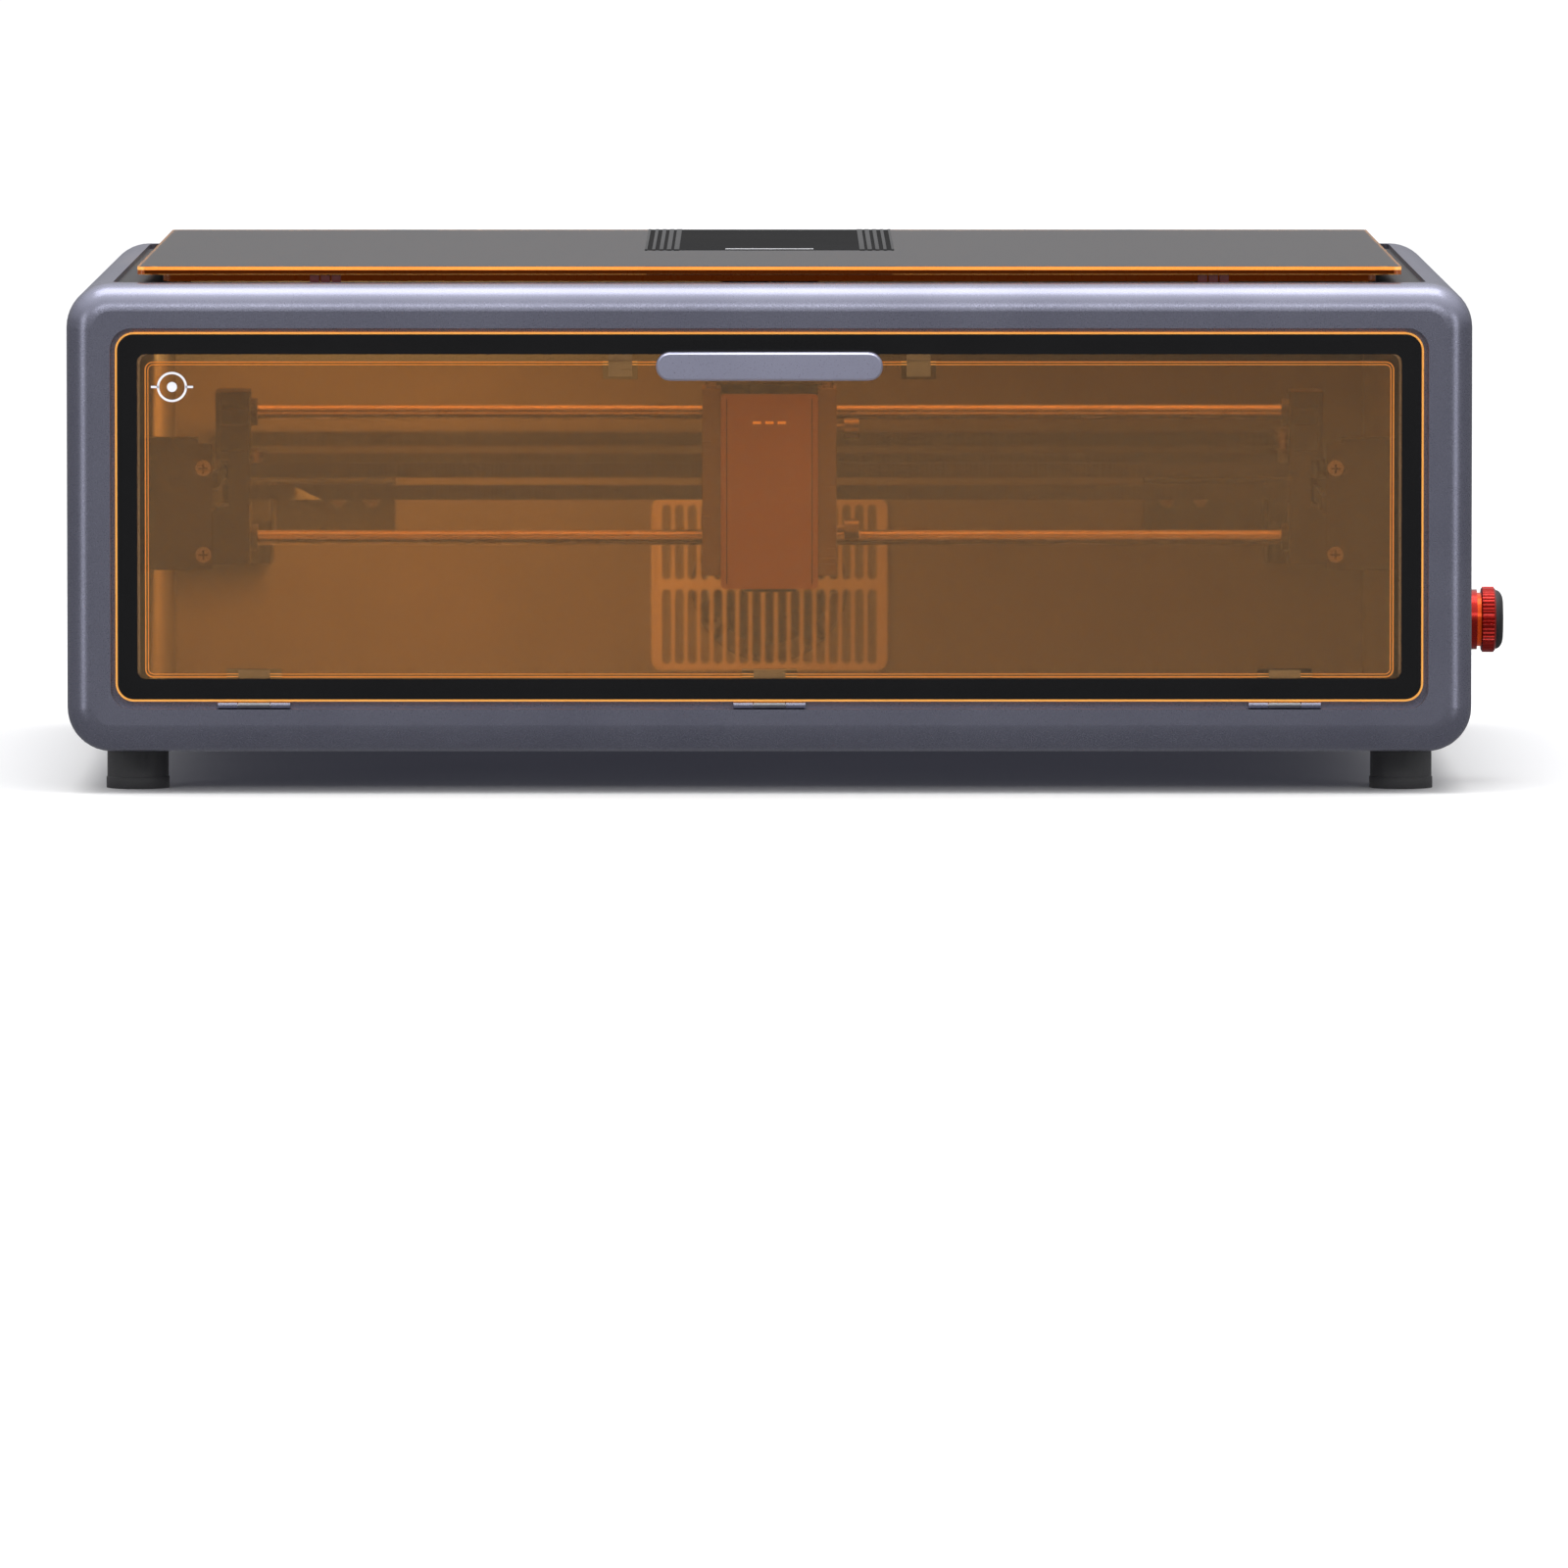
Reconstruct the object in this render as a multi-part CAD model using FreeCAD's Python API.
"""Enclosed desktop laser engraver with a hinged front door and a hinged lid.

Millimetres. +X is the operator's right, +Y the rear, +Z up. The origin is the
centre of the casing's footprint, in the plane that the feet stand on.
"""
import FreeCAD
import Part
import math
import os

from FreeCAD import Vector

# ---- casing -------------------------------------------------------------
CASE_W = 560.0
CASE_D = 465.0
CASE_H = 187.0
CASE_CORNER = 17.8
CASE_WALL = 3.0
FOOT_H = 16.5
FOOT_R = 12.3
FOOT_STEP = 4.5
FOOT_FLARE = 0.35
FOOT_INSET_X = 27.0
FOOT_INSET_Y = 42.5
END_RING = 12.5
END_ROUND = 11.0
BAND_W = 17.6
REAR_BAND = 11.5
PANEL_RECESS = 6.0
PANEL_T = 3.0
# ---- door ---------------------------------------------------------------
DOOR_GAP_SIDE = 2.0
DOOR_GAP_TOP = 1.7
DOOR_GAP_BOTTOM = 3.1
DOOR_T = 3.0
DOOR_SET_BACK = 1.5
DOOR_R = 7.3
DOOR_BORDER = 11.7
DOOR_BORDER_BOTTOM = 9.4
LIP_T = 3.0
HANDLE_W = 90.2
HANDLE_H = 11.2
HANDLE_D = 8.5
HANDLE_DROP = 13.3
DOOR_HINGE_PITCH = 205.3
DOOR_HINGE_W = 28.7
DOOR_KNUCKLE_W = 12.6
DOOR_KNUCKLE_R = 1.25
DOOR_HINGE_BACK = 0.8
DOOR_HINGE_DROP = 1.55
RABBET_R = 8.5
MAGNET_X = 59.4
MAGNET_W = 9.5
MAGNET_H = 6.0
# ---- lid ----------------------------------------------------------------
RECESS_W = CASE_W - 2 * 18.3
LID_W = RECESS_W - 2 * 9.7
LID_FRONT_GAP = 2.0
LID_L = CASE_D - 39.0
LID_T = 3.2
LID_LIFT = 3.0
LID_INSET = 10.0
LID_INNER_T = 3.0
RECESS_DEPTH = 2.0
RECESS_REAR_GAP = 5.0
LID_MOUTH_W = RECESS_W - 2 * 27.7
LID_MOUTH_MARGIN = 20.0
FRAME_T = 2.0
CENTRE_W = 102.0
CENTRE_L = 243.0
BUMPER_X = 177.0
BUMPER_W = 13.0
LID_HINGE_X = 150.0
LID_HINGE_W = 60.0
LID_KNUCKLE_R = 1.9
# ---- chamber ------------------------------------------------------------
CHAMBER_W = CASE_W - 2 * 29.0
LINER_T = 2.0
FLOOR_T = 2.5
REAR_WALL_BACK = 22.5
REAR_WALL_T = 2.0
GRILLE_W = 99.8
GRILLE_H = 72.9
GRILLE_LOW = 1.4
GRILLE_T = 1.6
SLOT_N = 17
SLOT_PITCH = 5.43
SLOT_W = 3.7
SLOT_MARGIN = 2.7
SLOT_MID = 4.0
FAN = 70.0
FAN_T = REAR_WALL_BACK - PANEL_RECESS - PANEL_T
FAN_HUB_R = 15.0
FAN_BLADES = 7
COLLAR_R = 28.5
COLLAR_T = 2.0
COLLAR_L = 14.0
COLLAR_FLANGE = 3.0
# ---- motion -------------------------------------------------------------
GANTRY_Y = 152.5 - CASE_D / 2
ROD_R = 3.0
ROD_HIGH = 129.2
ROD_LOW = 78.1
BLOCK_IN = CHAMBER_W / 2 - 40.0
BLOCK_W = 13.6
BLOCK_HALF = 16.0
BLOCK_LOW = 67.9
BLOCK_TOP = 138.0
COLLAR_OUT = 3.0
BELT_W = 6.0
BELT_T = 1.0
BELT_R = 5.0
BELT_HIGH = 105.5
BELT_LOW = 96.5
IDLER_X = CHAMBER_W / 2 - 34.0
IDLER_BODY_H = 8.6
RAIL_R = 4.0
RAIL_X = CHAMBER_W / 2 - 13.0
RAIL_Z = 82.0
BRACKET_Y = 62.5 - CASE_D / 2
FRONT_IDLER_Y = BRACKET_Y + 7.0
BRACKET_T = 2.0
BRACKET_IN = CHAMBER_W / 2 - 27.5
BRACKET_SHELF = 13.0
BRACKET_LOW = 69.8
BRACKET_TOP = 120.7
MOTOR = 35.2
MOTOR_H = 34.0
MOTOR_PLATE_Z = 88.0
MOTOR_CLEAR = 0.4
REAR_IDLER_Y = CASE_D / 2 - REAR_WALL_BACK - REAR_WALL_T - MOTOR_CLEAR - MOTOR / 2
PIN_R = 1.5
FIT = 0.05
RUN_GAP = 0.3
# ---- laser head ---------------------------------------------------------
CAR_HALF = 26.0
CAR_BACK = 13.0
CAR_FRONT = 10.0
CAR_LOW = 66.0
CAR_TOP = 141.0
BEARING_R = 5.5
BEARING_L = 15.0
MOD_HALF = 19.6
MOD_LOW = 60.2
MOD_TOP = 138.8
MOD_D = 44.0
COVER_T = 2.0
COLUMN_W = 7.5
COLUMN_LOW = 65.4
COLUMN_TOP = 140.9
NOZZLE_R = 11.0
THUMB_HIGH = 124.0
THUMB_LOW = 83.0
THUMB_R = 4.0
# ---- side knob ----------------------------------------------------------
KNOB_Y = 82.5 - CASE_D / 2
KNOB_Z = 48.6
KNOB_R = 13.2
KNOB_OUT = 15.4

Z0 = FOOT_H
HALF_W = CASE_W / 2
FRONT = -CASE_D / 2
BACK = CASE_D / 2
SLEEVE_FRONT = FRONT + END_RING
SLEEVE_BACK = BACK - END_RING
TOP = Z0 + CASE_H
FLOOR = Z0 + CASE_WALL + FLOOR_T
CHAMBER_BACK = BACK - REAR_WALL_BACK
BLOCK_OUT = BLOCK_IN + BLOCK_W
SIDE_RUN = IDLER_X + BELT_R
LONG_RUN = SIDE_RUN + 2 * BELT_R
MOTOR_X = SIDE_RUN + BELT_R


def box(x0, x1, y0, y1, z0, z1):
    """Axis-aligned block between two corners."""
    return Part.makeBox(x1 - x0, y1 - y0, z1 - z0, Vector(x0, y0, z0))


def rod(radius, length, start, axis):
    """Solid cylinder from start along axis."""
    return Part.makeCylinder(radius, length, Vector(*start), Vector(*axis))


def tube(outer, inner, length, start, axis):
    """Hollow cylinder from start along axis."""
    return rod(outer, length, start, axis).cut(rod(inner, length, start, axis))


def rounded_wire(x0, x1, z0, z1, radius, y):
    """Closed rounded rectangle in the plane of constant y."""
    r = max(0.01, min(radius, (x1 - x0) / 2 - 0.01, (z1 - z0) / 2 - 0.01))
    c = math.cos(math.pi / 4) * r
    edges = []
    corners = [
        (x1 - r, z1 - r, 1, 1), (x0 + r, z1 - r, -1, 1),
        (x0 + r, z0 + r, -1, -1), (x1 - r, z0 + r, 1, -1),
    ]
    starts = []
    for index, (cx, cz, sx, sz) in enumerate(corners):
        side = Vector(cx + sx * r, y, cz)
        end = Vector(cx, y, cz + sz * r)
        first, last = (side, end) if index % 2 == 0 else (end, side)
        middle = Vector(cx + sx * c, y, cz + sz * c)
        starts.append((first, last))
        edges.append(Part.Arc(first, middle, last).toShape())
    for index in range(4):
        edges.append(Part.LineSegment(starts[index][1], starts[(index + 1) % 4][0]).toShape())
    return Part.Wire(Part.__sortEdges__(edges))


def slab(x0, x1, z0, z1, radius, y0, y1):
    """Rounded rectangle in XZ, extruded along Y."""
    face = Part.Face(rounded_wire(x0, x1, z0, z1, radius, y0))
    return face.extrude(Vector(0, y1 - y0, 0))


def plate(x0, x1, y0, y1, radius, z0, z1):
    """Rounded rectangle in XY, extruded along Z."""
    flat = slab(x0, x1, -y1, -y0, radius, z0, z1)
    flat.rotate(Vector(0, 0, 0), Vector(1, 0, 0), 90)
    return flat


def join(shapes):
    """One solid from touching shapes."""
    whole = shapes[0].fuse(shapes[1:]) if len(shapes) > 1 else shapes[0]
    return whole.removeSplitter()


def mirrored(shape):
    """Copy on the other side of the machine's centre plane."""
    return shape.mirror(Vector(0, 0, 0), Vector(1, 0, 0))


def save(name, shapes):
    """Write one node from one solid or a group of separate solids."""
    solids = [s for shape in shapes for s in shape.Solids]
    whole = solids[0] if len(solids) == 1 else Part.makeCompound(solids)
    whole.exportStep(os.path.join("parts", name + ".step"))


def soften(shape, radius, chosen):
    """Fillet the edges that chosen picks; radius is limited by the wall."""
    edges = [e for e in shape.Edges if chosen(e)]
    return shape.makeFillet(radius, edges) if edges else shape


# ---- casing -------------------------------------------------------------
def end_ring(front, opening):
    """Front or rear ring of the casing with its outer edge rolled over."""
    ring = slab(-HALF_W, HALF_W, Z0, TOP, CASE_CORNER, front, front + END_RING)
    outer = front if front < 0 else front + END_RING
    ring = soften(
        ring, END_ROUND,
        lambda e: abs(e.BoundBox.YMin - outer) < 0.01 and e.BoundBox.YLength < 0.01,
    )
    return ring.cut(opening)


def door_mouth():
    """Sizes of the opening in the bezel lip: half width, low and high."""
    half = HALF_W - BAND_W - DOOR_BORDER
    low = Z0 + BAND_W + DOOR_BORDER_BOTTOM
    high = TOP - BAND_W - DOOR_BORDER + 1.0
    return half, low, high


def front_bezel():
    """Front ring with the rabbet that the door lies in."""
    half = HALF_W - BAND_W
    low, high = Z0 + BAND_W - 0.3, TOP - BAND_W - 0.2
    mouth, mouth_low, mouth_high = door_mouth()
    rabbet_back = FRONT + DOOR_SET_BACK + DOOR_T + 1.5
    cut = slab(-half, half, low, high, RABBET_R, FRONT - 1, rabbet_back)
    inner = slab(-mouth, mouth, mouth_low, mouth_high, 4.0, FRONT - 1, SLEEVE_FRONT + 1)
    pocket = slab(
        -HALF_W + CASE_WALL, HALF_W - CASE_WALL, Z0 + CASE_WALL, TOP - CASE_WALL,
        CASE_CORNER - CASE_WALL, rabbet_back + LIP_T, SLEEVE_FRONT + 1,
    )
    return end_ring(FRONT, cut.fuse(inner)).cut(pocket)


def recess():
    """Plan limits of the lid recess: half width, front, back."""
    return RECESS_W / 2, SLEEVE_FRONT + 1.5, SLEEVE_FRONT + 4.0 + LID_L + RECESS_REAR_GAP


def lid_front():
    """Front edge of the lid sheet."""
    return recess()[1] + LID_FRONT_GAP + 0.5


def housing_sleeve():
    """Wrap-round shell: floor, sides and the rim of the top."""
    outer = slab(-HALF_W, HALF_W, Z0, TOP, CASE_CORNER, SLEEVE_FRONT, SLEEVE_BACK)
    inner = slab(
        -HALF_W + CASE_WALL, HALF_W - CASE_WALL, Z0 + CASE_WALL, TOP - CASE_WALL,
        CASE_CORNER - CASE_WALL, SLEEVE_FRONT - 1, SLEEVE_BACK + 1,
    )
    half, near, far = recess()
    mouth = plate(-half, half, near, far, 6.0, TOP - CASE_WALL - 6, TOP + 1)
    knob_hole = rod(5.0, 10.0, (HALF_W - 6, KNOB_Y, Z0 + KNOB_Z), (1, 0, 0))
    return outer.cut(inner).cut(mouth).cut(knob_hole)


def rear_panel():
    """Rear ring and the recessed panel inside it, in one moulding."""
    half = HALF_W - REAR_BAND
    pocket = slab(-half, half, Z0 + REAR_BAND, TOP - REAR_BAND, 10.0, BACK - PANEL_RECESS, BACK + 1)
    hollow = slab(
        -HALF_W + CASE_WALL, HALF_W - CASE_WALL, Z0 + CASE_WALL, TOP - CASE_WALL,
        CASE_CORNER - CASE_WALL, SLEEVE_BACK - 1, BACK - PANEL_RECESS - PANEL_T,
    )
    panel = end_ring(SLEEVE_BACK, pocket).cut(hollow)
    panel = panel.cut(rod(COLLAR_R - COLLAR_T, 40, (0, SLEEVE_BACK - 5, fan_z()), (0, 1, 0)))
    for x0, x1, z0, z1 in socket_holes():
        panel = panel.cut(box(x0, x1, SLEEVE_BACK - 5, BACK + 5, z0, z1))
    return panel


def fan_z():
    """Height of the exhaust fan's axis."""
    return FLOOR + GRILLE_LOW + GRILLE_H / 2


def socket_holes():
    """Rear cut-outs: power socket, data socket, rocker switch."""
    z = Z0 + 40.0
    return [(180.0, 194.0, z - 7, z + 7), (202.0, 214.0, z - 4, z + 4), (222.0, 240.0, z - 6.5, z + 6.5)]


def lid_frame():
    """Tray round the lid opening that the closed lid rests over."""
    half, near, far = recess()
    z1 = TOP - RECESS_DEPTH
    ring = plate(-half, half, near, far, 6.0, z1 - FRAME_T, z1)
    mouth = LID_MOUTH_W / 2
    hole = plate(-mouth, mouth, near + LID_MOUTH_MARGIN, far - LID_MOUTH_MARGIN, 4.0, z1 - 9, z1 + 1)
    return ring.cut(hole)


def side_liner():
    """Right inner wall of the chamber with a few cable slots."""
    x = CHAMBER_W / 2
    top = TOP - RECESS_DEPTH - FRAME_T
    wall = box(x, x + LINER_T, SLEEVE_FRONT + 1.5, CHAMBER_BACK, FLOOR - FLOOR_T, top)
    for index in range(3):
        low = Z0 + 30 + 9 * index
        wall = wall.cut(box(x - 1, x + 4, -120.0, -116.0, low, low + 5))
    return wall


def rear_wall():
    """Inner rear wall with the exhaust hole."""
    x = CHAMBER_W / 2
    y = CHAMBER_BACK - REAR_WALL_T
    top = TOP - RECESS_DEPTH - FRAME_T
    wall = box(-x, x, y, CHAMBER_BACK, FLOOR, top)
    return wall.cut(rod(FAN / 2 - 2, 10, (0, y - 4, fan_z()), (0, 1, 0)))


def exhaust_grille():
    """Moulded two-row slotted grille on the rear wall."""
    y1 = CHAMBER_BACK - REAR_WALL_T
    y0 = y1 - GRILLE_T
    low = FLOOR + GRILLE_LOW
    body = slab(-GRILLE_W / 2, GRILLE_W / 2, low, low + GRILLE_H, 4.6, y0 - 0.8, y1)
    rim = 1.6
    body = body.cut(slab(-GRILLE_W / 2 + rim, GRILLE_W / 2 - rim, low + rim, low + GRILLE_H - rim, 3.0, y0 - 2, y0))
    row_h = (GRILLE_H - 2 * SLOT_MARGIN - SLOT_MID) / 2
    for row in range(2):
        z0 = low + SLOT_MARGIN + row * (row_h + SLOT_MID)
        for column in range(SLOT_N):
            x = (column - (SLOT_N - 1) / 2) * SLOT_PITCH
            body = body.cut(slab(x - SLOT_W / 2, x + SLOT_W / 2, z0, z0 + row_h, SLOT_W / 2, y0 - 2, y1 + 1))
    return body


def feet():
    """Four rubber feet, each with a slightly wider sole."""
    result = []
    for sx in (-1, 1):
        for sy in (-1, 1):
            x = sx * (HALF_W - FOOT_INSET_X)
            y = sy * (CASE_D / 2 - FOOT_INSET_Y)
            stem = rod(FOOT_R, FOOT_H, (x, y, 0), (0, 0, 1))
            result.append(join([stem, rod(FOOT_R + FOOT_FLARE, FOOT_STEP, (x, y, 0), (0, 0, 1))]))
    return result


def fan_parts():
    """Exhaust fan: square frame and bladed rotor."""
    y0 = CHAMBER_BACK
    z = fan_z()
    half = FAN / 2
    frame = slab(-half, half, z - half, z + half, 4.0, y0, y0 + FAN_T)
    frame = frame.cut(rod(half - 2, FAN_T + 2, (0, y0 - 1, z), (0, 1, 0)))
    hub_back = rod(FAN_HUB_R - 1, 2.0, (0, y0 + FAN_T - 2, z), (0, 1, 0))
    stub = rod(2.0, 6.0, (0, y0 + FAN_T - 7, z), (0, 1, 0))
    ribs = [hub_back, stub]
    for angle in (45, 135, 225, 315):
        rib = box(FAN_HUB_R - 3, half - 1, y0 + FAN_T - 2, y0 + FAN_T, -1.5, 1.5)
        rib.rotate(Vector(0, 0, 0), Vector(0, 1, 0), angle)
        rib.translate(Vector(0, 0, z))
        ribs.append(rib)
    frame = join([frame] + ribs)
    hub = rod(FAN_HUB_R, FAN_T - 4, (0, y0 + 1, z), (0, 1, 0))
    hub = hub.cut(rod(2.0 + FIT, FAN_T, (0, y0 + 4, z), (0, 1, 0)))
    blades = [hub]
    for index in range(FAN_BLADES):
        blade = box(FAN_HUB_R - 1.5, half - 4, -0.8, 0.8, -7.0, 7.0)
        blade.rotate(Vector(0, 0, 0), Vector(1, 0, 0), 55)
        blade = blade.common(box(0, half, -(FAN_T - 4) / 2, (FAN_T - 4) / 2, -20, 20))
        blade.rotate(Vector(0, 0, 0), Vector(0, 1, 0), 360 / FAN_BLADES * index)
        blade.translate(Vector(0, y0 + 1 + (FAN_T - 4) / 2, z))
        blades.append(blade)
    return frame, join(blades)


def exhaust_collar():
    """Flanged collar that a duct hose slides over."""
    y = BACK - PANEL_RECESS
    z = fan_z()
    ring = rod(COLLAR_R, COLLAR_L, (0, y, z), (0, 1, 0))
    flange = rod(COLLAR_R + COLLAR_FLANGE, 2.0, (0, y, z), (0, 1, 0))
    return join([ring, flange]).cut(rod(COLLAR_R - COLLAR_T, COLLAR_L + 2, (0, y - 1, z), (0, 1, 0)))


def rear_sockets():
    """Power socket with its centre pin, and the data socket, in their cut-outs."""
    y1 = BACK - PANEL_RECESS + 1.0
    y0 = y1 - 14.0
    power_hole, data_hole = socket_holes()[:2]
    x0, x1, z0, z1 = power_hole
    xm, zm = (x0 + x1) / 2, (z0 + z1) / 2
    power = box(x0, x1, y0, y1, z0, z1)
    power = power.cut(rod(3.2, 11.0, (xm, y1 - 10, zm), (0, 1, 0)))
    power = join([power, rod(1.0, 8.0, (xm, y1 - 11, zm), (0, 1, 0))])
    x0, x1, z0, z1 = data_hole
    data = box(x0, x1, y0, y1, z0, z1)
    zm = (z0 + z1) / 2
    data = data.cut(slab(x0 + 1.5, x1 - 1.5, zm - 1.6, zm + 1.6, 1.5, y1 - 7, y1 + 1))
    return [power, data]


def power_rocker():
    """Rocker of the power switch, on a trunnion in its bezel."""
    x0, x1, z0, z1 = socket_holes()[2]
    y1 = BACK - PANEL_RECESS
    bezel = box(x0, x1, y1 - 12, y1 + 1, z0, z1)
    bezel = bezel.cut(box(x0 + 1.5, x1 - 1.5, y1 - 9, y1 + 2, z0 + 1.5, z1 - 1.5))
    xm, zm = (x0 + x1) / 2, (z0 + z1) / 2
    ym = y1 - 4.5
    bezel = join([bezel, rod(1.2, z1 - z0 - 2, (xm, ym, z0 + 1), (0, 0, 1))])
    half = (x1 - x0) / 2 - 3.4
    wedge = Part.makePolygon([
        Vector(xm - half, ym - 1, 0), Vector(xm - half, y1 - 0.5, 0), Vector(xm, y1 - 1.5, 0),
        Vector(xm + half, y1 + 1.2, 0), Vector(xm + half, ym - 1, 0), Vector(xm, ym - 2.6, 0),
        Vector(xm - half, ym - 1, 0),
    ])
    rocker = Part.Face(wedge).extrude(Vector(0, 0, z1 - z0 - 4))
    rocker.translate(Vector(0, 0, z0 + 2))
    return bezel, rocker.cut(rod(1.2 + FIT, 40, (xm, ym, z0 - 5), (0, 0, 1)))


def control_board():
    """Main board on spacers in the side cavity, with a few components."""
    x = CHAMBER_W / 2 + LINER_T
    parts = [box(x + 5, x + 6.6, 20.0, 150.0, Z0 + 40, Z0 + 130)]
    for y in (28.0, 142.0):
        for z in (Z0 + 48, Z0 + 122):
            parts.append(rod(2.5, 5.0, (x, y, z), (1, 0, 0)))
    parts.append(box(x + 6.6, x + 12, 60.0, 84.0, Z0 + 70, Z0 + 94))
    parts.append(box(x + 6.6, x + 15, 100.0, 130.0, Z0 + 60, Z0 + 72))
    return join(parts)


# ---- door ---------------------------------------------------------------
def door_limits():
    """Outer sheet: half width, low, high, front face and back face."""
    half = HALF_W - BAND_W - DOOR_GAP_SIDE
    low = Z0 + BAND_W - 0.3 + DOOR_GAP_BOTTOM
    high = TOP - BAND_W - 0.2 - DOOR_GAP_TOP
    front = FRONT + DOOR_SET_BACK
    return half, low, high, front, front + DOOR_T


def door_axis():
    """Centre of the door's hinge barrels: y and z."""
    _, low, _, front, _ = door_limits()
    return front + DOOR_HINGE_BACK, low - DOOR_HINGE_DROP


def door_parts():
    """Outer sheet, inner sheet, handle and magnets of the front door."""
    half, low, high, front, back = door_limits()
    outer = slab(-half, half, low, high, DOOR_R, front, back)
    half_in = half - DOOR_BORDER
    low_in, high_in = low + DOOR_BORDER_BOTTOM, high - DOOR_BORDER
    inner = slab(-half_in, half_in, low_in, high_in, 3.3, back, back + DOOR_T)
    for x in hinge_places():
        inner = inner.cut(box(x - 11, x + 11, back - 1, back + DOOR_T + 1, low_in - 1, low_in + 3.5))
    magnets = []
    for x in (-MAGNET_X, MAGNET_X):
        notch = MAGNET_W / 2 + 2.2
        inner = inner.cut(box(x - notch, x + notch, back - 1, back + 4, high_in - MAGNET_H - 1, high_in + 1))
        magnets.append(box(x - MAGNET_W / 2, x + MAGNET_W / 2, back, back + DOOR_T, high_in - MAGNET_H, high_in))
    z = high - HANDLE_DROP
    handle = slab(
        -HANDLE_W / 2, HANDLE_W / 2, z - HANDLE_H / 2, z + HANDLE_H / 2, HANDLE_H / 2,
        front - HANDLE_D, front,
    )
    handle = handle.makeChamfer(0.8, [e for e in handle.Edges if e.BoundBox.YMax < front - HANDLE_D + 0.01])
    return outer, inner, handle, magnets


def hinge_places():
    """Centres of the door hinges."""
    return [-DOOR_HINGE_PITCH, 0.0, DOOR_HINGE_PITCH]


def door_catches():
    """Steel catches under the bezel lip that the door magnets meet."""
    _, _, high, _, back = door_limits()
    _, _, mouth_high = door_mouth()
    y0 = back + DOOR_T + RUN_GAP
    top = high - DOOR_BORDER
    result = []
    for x in (-MAGNET_X, MAGNET_X):
        half = MAGNET_W / 2
        result.append(box(x - half, x + half, y0, SLEEVE_FRONT, top - MAGNET_H, mouth_high))
    return result


def door_hinges():
    """Fixed leaves, door leaves and pins of the three door hinges."""
    y, z = door_axis()
    _, low, _, _, back = door_limits()
    floor_y = FRONT + DOOR_SET_BACK + DOOR_T + 1.5
    r = DOOR_KNUCKLE_R
    pin_r = r * 0.45
    fixed, moving, pins = [], [], []
    for x in hinge_places():
        leaves = []
        for side in (-1, 1):
            inner_x = x + side * (DOOR_KNUCKLE_W / 2 + RUN_GAP)
            outer_x = x + side * DOOR_HINGE_W / 2
            x0, x1 = min(inner_x, outer_x), max(inner_x, outer_x)
            barrel = rod(r, x1 - x0, (x0, y, z), (1, 0, 0))
            arm = box(x0, x1, y, floor_y, z - r, z)
            leaf = box(x0, x1, floor_y - 0.8, floor_y, z - r, z + 6)
            solid = join([barrel, arm, leaf])
            leaves.append(solid.cut(rod(pin_r + FIT, DOOR_HINGE_W, (x - DOOR_HINGE_W / 2, y, z), (1, 0, 0))))
        fixed += leaves
        x0, x1 = x - DOOR_KNUCKLE_W / 2, x + DOOR_KNUCKLE_W / 2
        barrel = rod(r, x1 - x0, (x0, y, z), (1, 0, 0))
        arm = box(x0, x1, y, back + 0.8, z, z + r)
        leaf = box(x0, x1, back, back + 0.8, z, low + DOOR_BORDER_BOTTOM + 3)
        solid = join([barrel, arm, leaf])
        moving.append(solid.cut(rod(pin_r + FIT, DOOR_HINGE_W, (x - DOOR_HINGE_W / 2, y, z), (1, 0, 0))))
        pins.append(rod(pin_r, DOOR_HINGE_W - 0.4, (x - DOOR_HINGE_W / 2 + 0.2, y, z), (1, 0, 0)))
    return fixed, moving, pins


# ---- lid ----------------------------------------------------------------
def lid_axis():
    """Centre of the lid's hinge barrels: y and z."""
    return lid_front() + LID_L - 1.5, TOP + LID_LIFT - LID_KNUCKLE_R - 0.1


def lid_parts():
    """Top sheet, bonded inner sheet, centre plate and camera."""
    y0 = lid_front()
    y1 = y0 + LID_L
    half = LID_W / 2
    z0 = TOP + LID_LIFT
    outer = plate(-half, half, y0, y1, 3.0, z0, z0 + LID_T)
    half_in = half - LID_INSET
    inner = plate(-half_in, half_in, y0 + LID_INSET, y1 - LID_INSET, 3.0, z0 - LID_INNER_T, z0)
    centre = box(-CENTRE_W / 2, CENTRE_W / 2, y1 - CENTRE_L, y1 - 2, z0 + LID_T, z0 + LID_T + 0.3)
    ym = y1 - CENTRE_L + 40
    camera = box(-20, 20, ym - 12, ym + 12, z0 - LID_INNER_T - 9, z0 - LID_INNER_T)
    camera = join([camera, rod(7.0, 3.0, (0, ym, z0 - LID_INNER_T - 12), (0, 0, 1))])
    return outer, inner, centre, camera


def lid_bumpers():
    """Soft blocks under the lid's front edge."""
    _, near, _ = recess()
    z0 = TOP - RECESS_DEPTH
    y0 = lid_front() + 1
    result = []
    for x in (-BUMPER_X, BUMPER_X):
        for step in (-1, 0, 1):
            xm = x + step * BUMPER_W / 3
            half = BUMPER_W / 6 - 0.35
            result.append(box(xm - half, xm + half, y0, y0 + 7, z0, TOP + LID_LIFT - RUN_GAP))
    return result


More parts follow.
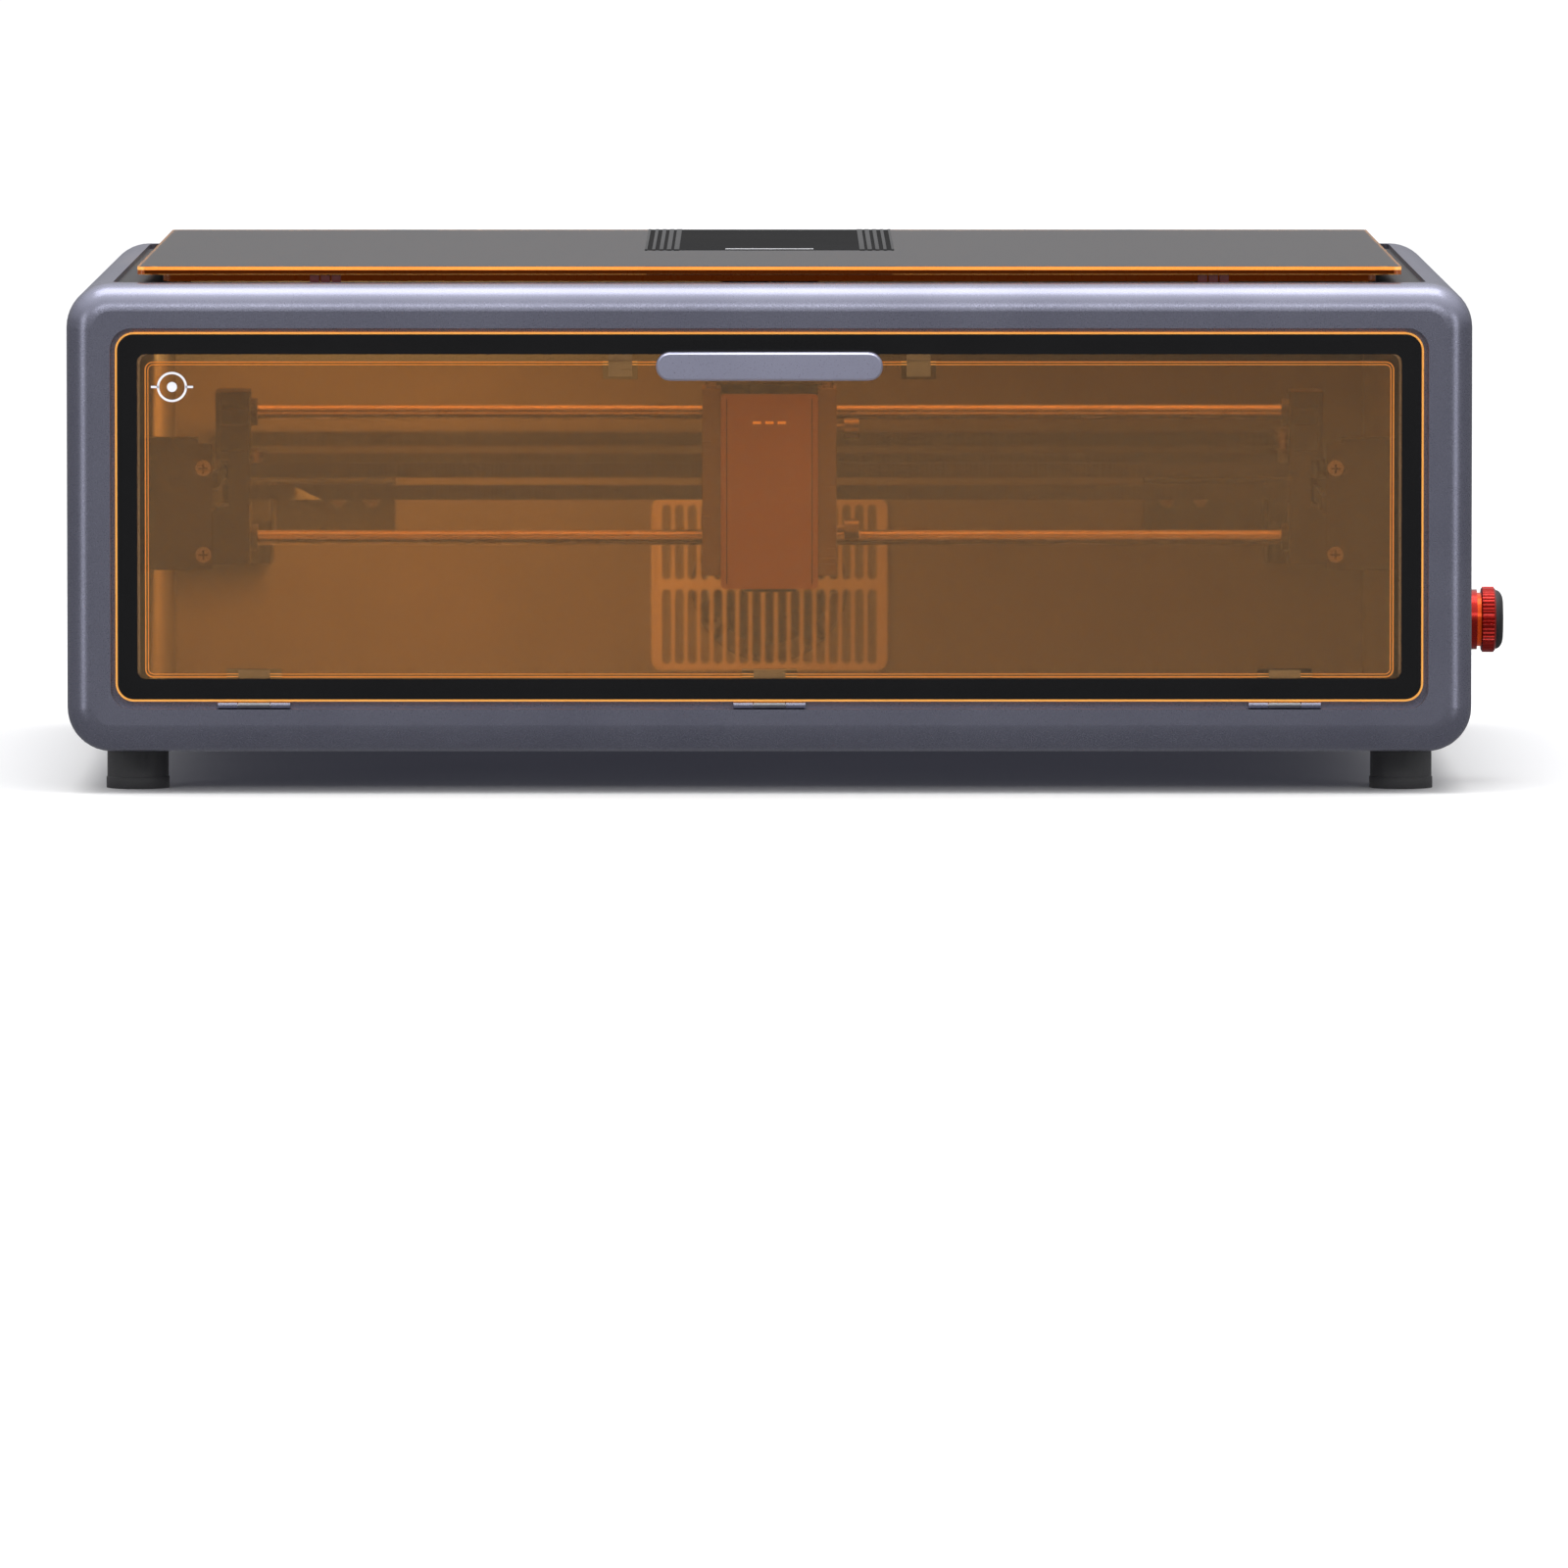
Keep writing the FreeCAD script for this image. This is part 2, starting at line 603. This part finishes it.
def lid_hinges():
    """Fixed leaves, lid leaves and pins of the two lid hinges."""
    y, z = lid_axis()
    r = LID_KNUCKLE_R
    base = TOP - RECESS_DEPTH
    under = TOP + LID_LIFT
    third = LID_HINGE_W / 3
    pin_r = 0.9
    fixed, moving, pins = [], [], []
    for x in (-LID_HINGE_X, LID_HINGE_X):
        start = x - LID_HINGE_W / 2
        bore = rod(pin_r + FIT, LID_HINGE_W + 2, (start - 1, y, z), (1, 0, 0))
        for index in (0, 2):
            x0 = start + index * third + (RUN_GAP if index else 0)
            length = third - RUN_GAP
            barrel = rod(r, length, (x0, y, z), (1, 0, 0))
            web = box(x0, x0 + length, y - 1, y + 1, base, z)
            foot = box(x0, x0 + length, y - 6, y + 5, base, base + 0.8)
            fixed.append(join([barrel, web, foot]).cut(bore))
        x0 = start + third + RUN_GAP / 2
        length = third - RUN_GAP
        barrel = rod(r, length, (x0, y, z), (1, 0, 0))
        web = box(x0, x0 + length, y - 1.5, y, z, under)
        leaf = box(x0, x0 + length, y - 8, y, under - 0.9, under)
        moving.append(join([barrel, web, leaf]).cut(bore))
        pins.append(rod(pin_r, LID_HINGE_W - 1, (start + 0.5, y, z), (1, 0, 0)))
    return fixed, moving, pins


# ---- motion -------------------------------------------------------------
def idler(x, y, level, bore):
    """Flanged idler or pulley round a vertical axis at belt height."""
    half = IDLER_BODY_H / 2
    z = Z0 + level - half
    core = rod(BELT_R - BELT_T / 2 - RUN_GAP, IDLER_BODY_H, (x, y, z), (0, 0, 1))
    rims = [
        rod(BELT_R + BELT_T / 2 + RUN_GAP, 0.8, (x, y, z), (0, 0, 1)),
        rod(BELT_R + BELT_T / 2 + RUN_GAP, 0.8, (x, y, z + IDLER_BODY_H - 0.8), (0, 0, 1)),
    ]
    whole = join([core] + rims)
    return whole.cut(rod(bore, IDLER_BODY_H + 2, (x, y, z - 1), (0, 0, 1))) if bore else whole


def arc_belt(x, y, level, sx, sy):
    """Belt round one quarter of an idler; sx, sy choose the quarter."""
    z = Z0 + level - BELT_W / 2
    ring = tube(BELT_R + BELT_T / 2, BELT_R - BELT_T / 2, BELT_W, (x, y, z), (0, 0, 1))
    reach = 2 * BELT_R
    x0, x1 = sorted((x, x + sx * reach))
    y0, y1 = sorted((y, y + sy * reach))
    return ring.common(box(x0, x1, y0, y1, z - 1, z + BELT_W + 1))


def belt_x(x0, x1, y, level):
    """Straight belt along X."""
    z = Z0 + level
    return box(x0, x1, y - BELT_T / 2, y + BELT_T / 2, z - BELT_W / 2, z + BELT_W / 2)


def belt_y(x, y0, y1, level):
    """Straight belt along Y."""
    z = Z0 + level
    return box(x - BELT_T / 2, x + BELT_T / 2, y0, y1, z - BELT_W / 2, z + BELT_W / 2)


def side_belt(level):
    """Part of one belt that keeps its length; the left motor drives it."""
    return join([
        arc_belt(-MOTOR_X, FRONT_IDLER_Y, level, 1, -1),
        arc_belt(-MOTOR_X, FRONT_IDLER_Y, level, -1, -1),
        belt_y(-LONG_RUN, FRONT_IDLER_Y, REAR_IDLER_Y, level),
        arc_belt(-MOTOR_X, REAR_IDLER_Y, level, -1, 1),
        belt_x(-MOTOR_X, IDLER_X, REAR_IDLER_Y + BELT_R, level),
        arc_belt(IDLER_X, REAR_IDLER_Y, level, 1, 1),
    ])


def gantry_belt(level):
    """Part of one belt that rides on the gantry, as the left motor's runs."""
    return join([
        arc_belt(-IDLER_X, GANTRY_Y - BELT_R, level, -1, 1),
        belt_x(-IDLER_X, IDLER_X, GANTRY_Y, level),
        arc_belt(IDLER_X, GANTRY_Y + BELT_R, level, 1, -1),
    ])


def belt_runs():
    """Belt runs beside the gantry that shorten or lengthen as it travels."""
    near = FRONT_IDLER_Y
    far = REAR_IDLER_Y
    low_end = GANTRY_Y - BELT_R - RUN_GAP
    high_end = GANTRY_Y + BELT_R + RUN_GAP
    front = [belt_y(-SIDE_RUN, near, low_end, BELT_HIGH), belt_y(SIDE_RUN, near, low_end, BELT_LOW)]
    rear = [belt_y(SIDE_RUN, high_end, far, BELT_HIGH), belt_y(-SIDE_RUN, high_end, far, BELT_LOW)]
    return front, rear


def front_bracket():
    """Right front bracket: folded plate with a shelf for the idler and a rail boss."""
    x = CHAMBER_W / 2
    y = BRACKET_Y
    z0, z1 = Z0 + BRACKET_LOW, Z0 + BRACKET_TOP
    face = box(BRACKET_IN, x, y - BRACKET_T, y, z0, z1)
    side = box(x - BRACKET_T, x, y - BRACKET_T, y + 30, z0, z1)
    shelf = box(BRACKET_IN, x, y - BRACKET_T, y + BRACKET_SHELF, Z0 + 112.0, Z0 + 114.0)
    flange = box(BRACKET_IN + 6, x, y - BRACKET_T, y + 12, z1, z1 + 2.0)
    boss = rod(RAIL_R + 3, 8.0, (RAIL_X, y, Z0 + RAIL_Z), (0, 1, 0))
    bracket = join([face, side, shelf, flange, boss])
    bracket = bracket.cut(rod(RAIL_R + FIT / 2, 9.0, (RAIL_X, y, Z0 + RAIL_Z), (0, 1, 0)))
    return bracket.cut(rod(PIN_R + FIT, 6.0, (MOTOR_X, FRONT_IDLER_Y, Z0 + 110.0), (0, 0, 1)))


def rail_back():
    """Y where the guide rails end at the motor bracket."""
    return REAR_IDLER_Y - MOTOR / 2 - BRACKET_T


def motor_bracket():
    """Right rear bracket: motor plate, rail flange and two wall flanges."""
    x = CHAMBER_W / 2
    back = CHAMBER_BACK - REAR_WALL_T
    z = Z0 + MOTOR_PLATE_Z
    front = rail_back()
    top = box(158.0, x, front, back, z, z + BRACKET_T)
    nose = box(MOTOR_X - MOTOR / 2, x, front, front + BRACKET_T, z - 16.0, z)
    wall = box(158.0, MOTOR_X - MOTOR / 2 - 1, back - BRACKET_T, back, z - 22.0, z)
    side = box(x - BRACKET_T, x, front, back, z - 16.0, z)
    bracket = join([top, nose, wall, side])
    bracket = bracket.cut(rod(4.0, 10.0, (MOTOR_X, REAR_IDLER_Y, z - 4), (0, 0, 1)))
    return bracket.cut(rod(PIN_R + FIT, 10.0, (IDLER_X, REAR_IDLER_Y, z - 4), (0, 0, 1)))


def stepper_motor():
    """Right stepper motor body with a clearance hole for its shaft."""
    half = MOTOR / 2
    z = Z0 + MOTOR_PLATE_Z
    body = plate(MOTOR_X - half, MOTOR_X + half, REAR_IDLER_Y - half, REAR_IDLER_Y + half, 4.0, z - MOTOR_H, z)
    return body.cut(rod(2.5 + FIT, 20.0, (MOTOR_X, REAR_IDLER_Y, z - 15), (0, 0, 1)))


def motor_pulley(side, level):
    """Toothed pulley on its motor shaft."""
    x = side * MOTOR_X
    base = Z0 + MOTOR_PLATE_Z - 14.0
    shaft = rod(2.5, Z0 + level - base, (x, REAR_IDLER_Y, base), (0, 0, 1))
    return join([idler(x, REAR_IDLER_Y, level, 0), shaft])


def fasteners():
    """Bracket screws, idler bolts and their nuts, all fixed to the casing."""
    result = []
    for side in (-1, 1):
        for z in (BRACKET_TOP - 10.0, BRACKET_LOW + 6.1):
            start = (side * (BRACKET_IN + 3.7), BRACKET_Y - BRACKET_T - 0.8, Z0 + z)
            result.append(rod(3.2, 0.8, start, (0, 1, 0)))
        for x in (168.0, 182.0):
            start = (side * x, CHAMBER_BACK - REAR_WALL_T - BRACKET_T - 1.8, Z0 + MOTOR_PLATE_Z - 9)
            result.append(rod(3.0, 1.8, start, (0, 1, 0)))
        level = BELT_HIGH if side < 0 else BELT_LOW
        foot = level - IDLER_BODY_H / 2 - RUN_GAP
        x = side * MOTOR_X
        bolt = rod(PIN_R, 114.0 - foot, (x, FRONT_IDLER_Y, Z0 + foot), (0, 0, 1))
        head = rod(3.0, 2.0, (x, FRONT_IDLER_Y, Z0 + 114.0), (0, 0, 1))
        nut = rod(2.8, 0.9, (x, FRONT_IDLER_Y, Z0 + foot - 0.9), (0, 0, 1))
        result.append(join([bolt, head, nut]))
        level = BELT_LOW if side < 0 else BELT_HIGH
        x = side * IDLER_X
        cap = level + IDLER_BODY_H / 2 + RUN_GAP
        foot = MOTOR_PLATE_Z
        bolt = rod(PIN_R, cap - foot, (x, REAR_IDLER_Y, Z0 + foot), (0, 0, 1))
        head = rod(2.6, 0.9, (x, REAR_IDLER_Y, Z0 + cap), (0, 0, 1))
        spacer_low = MOTOR_PLATE_Z + BRACKET_T
        spacer_high = level - IDLER_BODY_H / 2 - RUN_GAP
        spacer = rod(2.6, spacer_high - spacer_low, (x, REAR_IDLER_Y, Z0 + spacer_low), (0, 0, 1))
        result.append(join([bolt, head, spacer]))
    return result


def end_block():
    """Right end block: rod sockets, idler window and the rail bearing."""
    y0, y1 = GANTRY_Y - BLOCK_HALF, GANTRY_Y + BLOCK_HALF
    low, high = Z0 + BLOCK_LOW, Z0 + BLOCK_TOP
    sill, head = Z0 + 91.4, Z0 + 110.6
    lower = box(BLOCK_IN, RAIL_X + 9, y0, y1, low, sill - 1.4)
    step = box(BLOCK_IN, BLOCK_OUT, y0, y1, sill - 1.4, sill)
    upper = box(BLOCK_IN, BLOCK_OUT, y0, y1, head, high)
    posts = [
        box(BLOCK_IN, BLOCK_IN + 8.5, y0, y0 + 3.8, sill, head),
        box(BLOCK_IN, BLOCK_IN + 8.5, y1 - 3.8, y1, sill, head),
    ]
    sockets = [
        rod(5.5, COLLAR_OUT, (BLOCK_IN - COLLAR_OUT, GANTRY_Y, Z0 + z), (1, 0, 0)) for z in (ROD_HIGH, ROD_LOW)
    ]
    block = join([lower, step, upper] + posts + sockets)
    for z in (ROD_HIGH, ROD_LOW):
        start = (BLOCK_IN - COLLAR_OUT - 1, GANTRY_Y, Z0 + z)
        block = block.cut(rod(ROD_R + FIT / 2, COLLAR_OUT + 11, start, (1, 0, 0)))
    block = block.cut(rod(RAIL_R + FIT, 2 * BLOCK_HALF + 2, (RAIL_X, y0 - 1, Z0 + RAIL_Z), (0, 1, 0)))
    for offset in (-BELT_R, BELT_R):
        block = block.cut(rod(PIN_R + FIT, 31.0, (IDLER_X, GANTRY_Y + offset, Z0 + 85.5), (0, 0, 1)))
    for z0, z1 in ((131.0, 135.5), (124.5, 128.0), (114.0, 121.5)):
        block = block.cut(box(BLOCK_IN + 2, BLOCK_OUT - 2.2, y0 - 1, y0 + 5, Z0 + z0, Z0 + z1))
    return block


def gantry_pins():
    """Pins that the four gantry idlers turn on."""
    pins = []
    for side in (-1, 1):
        for offset in (-BELT_R, BELT_R):
            pins.append(rod(PIN_R, 30.0, (side * IDLER_X, GANTRY_Y + offset, Z0 + 86.0), (0, 0, 1)))
    return pins


# ---- laser head ---------------------------------------------------------
def carriage():
    """Carriage block with belt slot, bearing bores and the height rail."""
    y0, y1 = GANTRY_Y - CAR_FRONT, GANTRY_Y + CAR_BACK
    body = box(-CAR_HALF, CAR_HALF, y0, y1, Z0 + CAR_LOW, Z0 + CAR_TOP)
    slot_low = BELT_LOW - BELT_W / 2 - 1.5
    slot_high = BELT_HIGH + BELT_W / 2 + 1.5
    gap = BELT_T / 2 + 1.0
    slot = box(-CAR_HALF - 1, CAR_HALF + 1, GANTRY_Y - gap, GANTRY_Y + gap, Z0 + slot_low, Z0 + slot_high)
    rail = box(-8.0, 8.0, y0 - 3.0, y0, Z0 + CAR_LOW, Z0 + CAR_TOP)
    body = join([body.cut(slot), rail])
    bearings = []
    for z in (ROD_HIGH, ROD_LOW):
        start = (-CAR_HALF - 1, GANTRY_Y, Z0 + z)
        body = body.cut(rod(BEARING_R, 2 * CAR_HALF + 2, start, (1, 0, 0)))
        for x in (-CAR_HALF, CAR_HALF - BEARING_L):
            seat = (x, GANTRY_Y, Z0 + z)
            bearings.append(tube(BEARING_R - FIT / 2, ROD_R + FIT, BEARING_L, seat, (1, 0, 0)))
    return body, bearings


def module_parts():
    """Laser module: body, front cover, side columns, nozzle and fan rotor."""
    y1 = GANTRY_Y - CAR_FRONT - RUN_GAP
    y0 = y1 - MOD_D
    ym = (y0 + y1) / 2
    top = Z0 + MOD_TOP - 1.8
    body = box(-MOD_HALF, MOD_HALF, y0, y1, Z0 + MOD_LOW + 1.8, top)
    body = body.cut(box(-8.3, 8.3, y1 - 3.3, y1 + 1, Z0, TOP))
    pocket_r = 16.0
    body = body.cut(rod(pocket_r, 12.0, (0, ym, top - 10.0), (0, 0, 1)))
    body = join([body, rod(PIN_R, 8.0, (0, ym, top - 10.0), (0, 0, 1))])
    cover = slab(-MOD_HALF, MOD_HALF, Z0 + MOD_LOW, Z0 + MOD_TOP, 1.5, y0 - COVER_T, y0)
    columns = []
    for side in (-1, 1):
        x0 = MOD_HALF if side > 0 else -MOD_HALF - COLUMN_W
        column = box(x0, x0 + COLUMN_W, y0 + 2, y1 - 6, Z0 + COLUMN_LOW, Z0 + COLUMN_TOP)
        for index in range(7):
            y = y0 + 5 + index * 4.5
            groove_x = x0 + COLUMN_W - 2.5 if side > 0 else x0 - 1
            column = column.cut(box(groove_x, groove_x + 3.5, y, y + 2.2, Z0, TOP))
        columns.append(column)
    for z in (THUMB_HIGH, THUMB_LOW):
        boss = rod(3.4, 2.6, (MOD_HALF + COLUMN_W - 2.6, thumb_y(), Z0 + z), (1, 0, 0))
        hole = rod(1.5 + FIT, 9.0, (MOD_HALF + COLUMN_W - 8.0, thumb_y(), Z0 + z), (1, 0, 0))
        columns[1] = join([columns[1], boss]).cut(hole)
    low = Z0 + MOD_LOW + 1.8
    nozzle = rod(NOZZLE_R, 3.8, (0, ym, low - 3.8), (0, 0, 1))
    nozzle = nozzle.cut(Part.makeCone(7.0, 4.0, 3.0, Vector(0, ym, low - 3.8), Vector(0, 0, 1)))
    hub = rod(6.0, 6.5, (0, ym, top - 9.0), (0, 0, 1))
    blades = [hub]
    for index in range(7):
        blade = box(5.0, pocket_r - 1.0, -0.6, 0.6, -6.0, 6.0)
        blade.rotate(Vector(0, 0, 0), Vector(1, 0, 0), 50)
        blade = blade.common(box(0, pocket_r, -9, 9, -3.0, 3.0))
        blade.rotate(Vector(0, 0, 0), Vector(0, 0, 1), 360 / 7 * index)
        blade.translate(Vector(0, ym, top - 5.6))
        blades.append(blade)
    rotor = join(blades).cut(rod(PIN_R + FIT, 7.8, (0, ym, top - 10.0), (0, 0, 1)))
    return body, cover, columns, nozzle, rotor


def thumb_y():
    """Depth of the thumb screws."""
    return GANTRY_Y - CAR_FRONT - RUN_GAP - 18.0


def thumb_screw(z):
    """Knurled thumb screw on the module's right side."""
    x = MOD_HALF + COLUMN_W
    shaft = rod(1.5, 11.0, (x - 7.4, thumb_y(), Z0 + z), (1, 0, 0))
    head = rod(THUMB_R, 5.9, (x + 3.2, thumb_y(), Z0 + z), (1, 0, 0))
    return join([shaft, head])


# ---- side knob ----------------------------------------------------------
def knob_parts():
    """Fixed bush and the turning knob on the right side wall."""
    z = Z0 + KNOB_Z
    ring = rod(KNOB_R - 0.6, 1.6, (HALF_W, KNOB_Y, z), (1, 0, 0))
    barrel = rod(5.0 - FIT / 2, 8.0, (HALF_W - 8, KNOB_Y, z), (1, 0, 0))
    nut = rod(8.0, 3.0, (HALF_W - CASE_WALL - 3, KNOB_Y, z), (1, 0, 0))
    bush = join([ring, barrel, nut]).cut(rod(3.0 + FIT, 20.0, (HALF_W - 12, KNOB_Y, z), (1, 0, 0)))
    x = HALF_W + 1.6 + RUN_GAP
    end = HALF_W + KNOB_OUT
    parts = [
        rod(3.0, x - (HALF_W - 10), (HALF_W - 10, KNOB_Y, z), (1, 0, 0)),
        rod(4.5, 1.6, (HALF_W - 10, KNOB_Y, z), (1, 0, 0)),
        rod(KNOB_R - 1.1, 3.0, (x, KNOB_Y, z), (1, 0, 0)),
        rod(KNOB_R - 2.4, 1.6, (x + 3.0, KNOB_Y, z), (1, 0, 0)),
        rod(KNOB_R, 5.8, (x + 4.6, KNOB_Y, z), (1, 0, 0)),
        Part.makeCone(KNOB_R - 1.2, KNOB_R - 4.0, end - x - 10.4, Vector(x + 10.4, KNOB_Y, z), Vector(1, 0, 0)),
    ]
    return bush, join(parts)


def both(shape):
    """A right-hand piece and its mirror image."""
    return [mirrored(shape), shape]


def main():
    """Build every node and write its STEP file."""
    os.makedirs("parts", exist_ok=True)
    fan_frame, fan_rotor = fan_parts()
    sockets = rear_sockets()
    switch_bezel, rocker = power_rocker()
    outer, inner, handle, magnets = door_parts()
    door_fixed, door_moving, door_pins = door_hinges()
    lid_outer, lid_inner, lid_centre, camera = lid_parts()
    lid_fixed, lid_moving, lid_pins = lid_hinges()
    front_runs, rear_runs = belt_runs()
    block = end_block()
    body, bearings = carriage()
    module, cover, columns, nozzle, head_rotor = module_parts()
    bush, knob = knob_parts()
    liner = side_liner()
    rail = rod(RAIL_R, rail_back() - BRACKET_Y, (RAIL_X, BRACKET_Y, Z0 + RAIL_Z), (0, 1, 0))
    rods = [
        rod(ROD_R, 2 * (BLOCK_IN + 9.0), (-BLOCK_IN - 9.0, GANTRY_Y, Z0 + z), (1, 0, 0))
        for z in (ROD_HIGH, ROD_LOW)
    ]
    floor = box(
        -CHAMBER_W / 2, CHAMBER_W / 2, SLEEVE_FRONT + 1.5, CHAMBER_BACK, Z0 + CASE_WALL, FLOOR,
    )
    nodes = {
        "housing_sleeve": [housing_sleeve()],
        "front_bezel": [front_bezel()],
        "rear_panel": [rear_panel()],
        "rear_wall": [rear_wall()],
        "exhaust_grille": [exhaust_grille()],
        "side_liners": both(liner),
        "floor_pan": [floor],
        "lid_frame": [lid_frame()],
        "feet": feet(),
        "guide_rails": both(rail),
        "front_brackets": both(front_bracket()),
        "motor_brackets": both(motor_bracket()),
        "fasteners": fasteners(),
        "stepper_motors": both(stepper_motor()),
        "exhaust_fan_frame": [fan_frame],
        "exhaust_fan_rotor": [fan_rotor],
        "exhaust_collar": [exhaust_collar()],
        "rear_sockets": sockets + [switch_bezel],
        "power_rocker": [rocker],
        "control_board": [control_board()],
        "door_catches": door_catches(),
        "hinge_leaves": door_fixed + lid_fixed,
        "hinge_pins": door_pins + lid_pins,
        "lid_bumpers": lid_bumpers(),
        "side_belts": [side_belt(BELT_HIGH), mirrored(side_belt(BELT_LOW))],
        "front_belt_runs": front_runs,
        "rear_belt_runs": rear_runs,
        "knob_bush": [bush],
        "side_knob": [knob],
        "door_outer_sheet": [outer],
        "door_inner_sheet": [inner],
        "door_handle": [handle],
        "door_magnets": magnets,
        "door_hinge_knuckles": door_moving,
        "lid_outer_sheet": [lid_outer],
        "lid_inner_sheet": [lid_inner],
        "lid_centre_plate": [lid_centre],
        "lid_camera": [camera],
        "lid_hinge_knuckles": lid_moving,
        "end_blocks": both(block),
        "gantry_rods": rods,
        "gantry_belts": [gantry_belt(BELT_HIGH), mirrored(gantry_belt(BELT_LOW))],
        "gantry_pins": gantry_pins(),
        "gantry_idler_left_upper": [idler(-IDLER_X, GANTRY_Y - BELT_R, BELT_HIGH, PIN_R + FIT)],
        "gantry_idler_left_lower": [idler(-IDLER_X, GANTRY_Y + BELT_R, BELT_LOW, PIN_R + FIT)],
        "gantry_idler_right_upper": [idler(IDLER_X, GANTRY_Y + BELT_R, BELT_HIGH, PIN_R + FIT)],
        "gantry_idler_right_lower": [idler(IDLER_X, GANTRY_Y - BELT_R, BELT_LOW, PIN_R + FIT)],
        "front_idler_left": [idler(-MOTOR_X, FRONT_IDLER_Y, BELT_HIGH, PIN_R + FIT)],
        "front_idler_right": [idler(MOTOR_X, FRONT_IDLER_Y, BELT_LOW, PIN_R + FIT)],
        "rear_idler_left": [idler(-IDLER_X, REAR_IDLER_Y, BELT_LOW, PIN_R + FIT)],
        "rear_idler_right": [idler(IDLER_X, REAR_IDLER_Y, BELT_HIGH, PIN_R + FIT)],
        "motor_pulley_left": [motor_pulley(-1, BELT_HIGH)],
        "motor_pulley_right": [motor_pulley(1, BELT_LOW)],
        "carriage_body": [body] + bearings,
        "module_body": [module] + [nozzle],
        "module_cover": [cover],
        "module_columns": columns,
        "module_fan_rotor": [head_rotor],
        "thumb_screw_upper": [thumb_screw(THUMB_HIGH)],
        "thumb_screw_lower": [thumb_screw(THUMB_LOW)],
    }
    for name, shapes in nodes.items():
        save(name, shapes)
    print(len(nodes), "nodes")


main()
